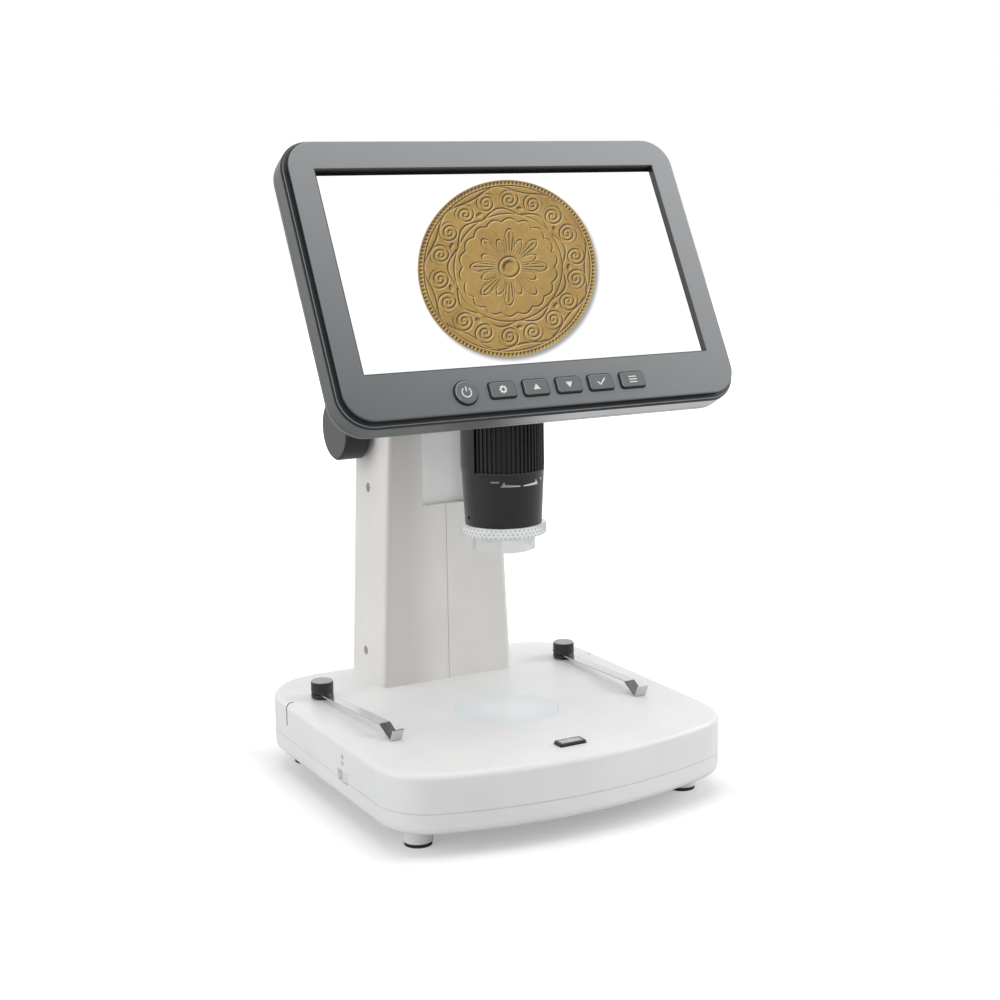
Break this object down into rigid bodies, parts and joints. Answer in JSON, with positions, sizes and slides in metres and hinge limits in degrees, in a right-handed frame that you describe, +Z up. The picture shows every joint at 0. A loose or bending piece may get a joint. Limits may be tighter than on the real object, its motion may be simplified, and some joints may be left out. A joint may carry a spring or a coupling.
{
  "type": "desktop digital microscope with display",
  "caption": "Desk microscope with a lit stage, spring clips, a rack-focused camera on a column, and a flat colour display with keys on a friction tilt hinge.",
  "frame": {"origin": "on the desk, under the middle of the object's footprint", "axes": "+Z up; the display faces -Y; +X is to the right of someone facing the display"},
  "size_m": [0.18, 0.164, 0.2723],
  "materials": {
    "white_shell": "satin warm white moulded plastic",
    "black_rubber": "matt black rubber",
    "frosted_disc": "frosted diffuser",
    "green_board": "printed circuit board",
    "black_plastic": "fine matt black plastic",
    "white_wheel": "white moulded plastic",
    "steel": "plated steel",
    "spring_steel": "polished spring steel",
    "cast_alloy": "die-cast alloy",
    "brass": "machined brass",
    "barrel_black": "satin black plastic",
    "ring_rubber": "ribbed black grip",
    "lens_glass": "coated lens",
    "clear_plastic": "clear moulded plastic",
    "display_grey": "satin grey plastic",
    "display_glass": "lit display behind a glossy film",
    "key_grey": "grey keys"
  },
  "bodies": {
    "base": {"base_upper_shell": "white_shell", "base_lower_shell": "white_shell", "foot_pad_front_right": "black_rubber", "foot_pad_rear_right": "black_rubber", "foot_pad_front_left": "black_rubber", "foot_pad_rear_left": "black_rubber", "stage_diffuser": "frosted_disc", "stage_light_board": "green_board", "stage_key_board": "green_board", "brightness_control": "black_plastic", "power_inlet": "black_plastic", "base_screws": "steel", "stand_right_shell": "white_shell", "stand_left_shell": "white_shell", "stand_screws": "steel", "focus_frame": "cast_alloy", "guide_rod_right": "steel", "guide_rod_left": "steel", "shaft_bushes": "brass", "column_screws": "steel"},
    "camera_head": {"focus_rack": "brass", "carriage_block": "white_wheel", "camera_arm": "black_plastic", "camera_barrel": "barrel_black", "barrel_lid": "black_plastic", "led_ring_board": "green_board", "sensor_board": "green_board"},
    "display": {"display_bezel": "display_grey", "display_frame": "display_grey", "display_back_shell": "display_grey", "lcd_panel": "display_glass", "main_board": "green_board", "key_board": "green_board", "hinge_bracket": "cast_alloy", "hinge_pin": "steel", "hinge_nuts": "black_plastic", "friction_discs": "black_plastic", "bracket_screws": "steel"},
    "focus_drive": {"focus_shaft": "steel", "focus_knob_right": "black_plastic", "focus_knob_left": "black_plastic"},
    "focus_ring": {"focus_ring": "ring_rubber"},
    "lens": {"lens_carrier": "black_plastic", "objective_lens": "lens_glass"},
    "clear_cap": {"clear_cap": "clear_plastic"},
    "stage_key": {"stage_key": "black_plastic"},
    "brightness_wheel": {"brightness_wheel": "white_wheel"},
    "clip_right": {"clip_spring_right": "spring_steel", "clip_knob_right": "black_plastic", "clip_post_right": "steel"},
    "clip_left": {"clip_spring_left": "spring_steel", "clip_knob_left": "black_plastic", "clip_post_left": "steel"},
    "key_power": {"key_power": "key_grey"},
    "key_settings": {"key_settings": "key_grey"},
    "key_up": {"key_up": "key_grey"},
    "key_down": {"key_down": "key_grey"},
    "key_confirm": {"key_confirm": "key_grey"},
    "key_menu": {"key_menu": "key_grey"}
  },
  "joints": [
    {"name": "focus_travel", "type": "slide", "parent": "base", "child": "camera_head", "axis": [0, 0, 1], "range_m": [-0.038, 0.001]},
    {"name": "focus_knob_turn", "type": "hinge", "parent": "base", "child": "focus_drive", "pos_m": [0, 0.068, 0.1486], "axis": [1, 0, 0], "range_deg": [-10, 364]},
    {"name": "display_tilt", "type": "hinge", "parent": "base", "child": "display", "pos_m": [0, -0.004, 0.2], "axis": [1, 0, 0], "range_deg": [-25, 8]},
    {"name": "focus_ring_turn", "type": "hinge", "parent": "camera_head", "child": "focus_ring", "pos_m": [0, -0.012, 0.15], "axis": [0, 0, 1], "range_deg": [-140, 140]},
    {"name": "lens_travel", "type": "slide", "parent": "camera_head", "child": "lens", "axis": [0, 0, 1], "range_m": [-0.00488, 0.00488]},
    {"name": "cap_pull", "type": "slide", "parent": "camera_head", "child": "clear_cap", "axis": [0, 0, -1], "range_m": [0, 0.03]},
    {"name": "stage_key_press", "type": "slide", "parent": "base", "child": "stage_key", "axis": [0, 0, -1], "range_m": [0, 0.0006], "stiffness_N_per_m": 600, "springref_m": -0.0002},
    {"name": "brightness_turn", "type": "hinge", "parent": "base", "child": "brightness_wheel", "pos_m": [-0.0705, -0.0168, 0.0192], "axis": [0, 0, 1], "range_deg": [-135, 135]},
    {"name": "clip_right_swing", "type": "hinge", "parent": "base", "child": "clip_right", "pos_m": [0.0615, 0.044, 0.034], "axis": [0, 0, 1], "range_deg": [-40, 25]},
    {"name": "clip_left_swing", "type": "hinge", "parent": "base", "child": "clip_left", "pos_m": [-0.0615, 0.044, 0.034], "axis": [0, 0, 1], "range_deg": [-25, 40]},
    {"name": "key_power_press", "type": "slide", "parent": "display", "child": "key_power", "axis": [0, 0.8784, -0.4779], "range_m": [0, 0.0006], "stiffness_N_per_m": 600, "springref_m": -0.0002},
    {"name": "key_settings_press", "type": "slide", "parent": "display", "child": "key_settings", "axis": [0, 0.8784, -0.4779], "range_m": [0, 0.0006], "stiffness_N_per_m": 600, "springref_m": -0.0002},
    {"name": "key_up_press", "type": "slide", "parent": "display", "child": "key_up", "axis": [0, 0.8784, -0.4779], "range_m": [0, 0.0006], "stiffness_N_per_m": 600, "springref_m": -0.0002},
    {"name": "key_down_press", "type": "slide", "parent": "display", "child": "key_down", "axis": [0, 0.8784, -0.4779], "range_m": [0, 0.0006], "stiffness_N_per_m": 600, "springref_m": -0.0002},
    {"name": "key_confirm_press", "type": "slide", "parent": "display", "child": "key_confirm", "axis": [0, 0.8784, -0.4779], "range_m": [0, 0.0006], "stiffness_N_per_m": 600, "springref_m": -0.0002},
    {"name": "key_menu_press", "type": "slide", "parent": "display", "child": "key_menu", "axis": [0, 0.8784, -0.4779], "range_m": [0, 0.0006], "stiffness_N_per_m": 600, "springref_m": -0.0002}
  ],
  "couplings": [
    {"joint": "focus_knob_turn", "follows": "focus_travel", "rad_per_m": -166.67},
    {"joint": "focus_ring_turn", "follows": "lens_travel", "rad_per_m": 500}
  ]
}
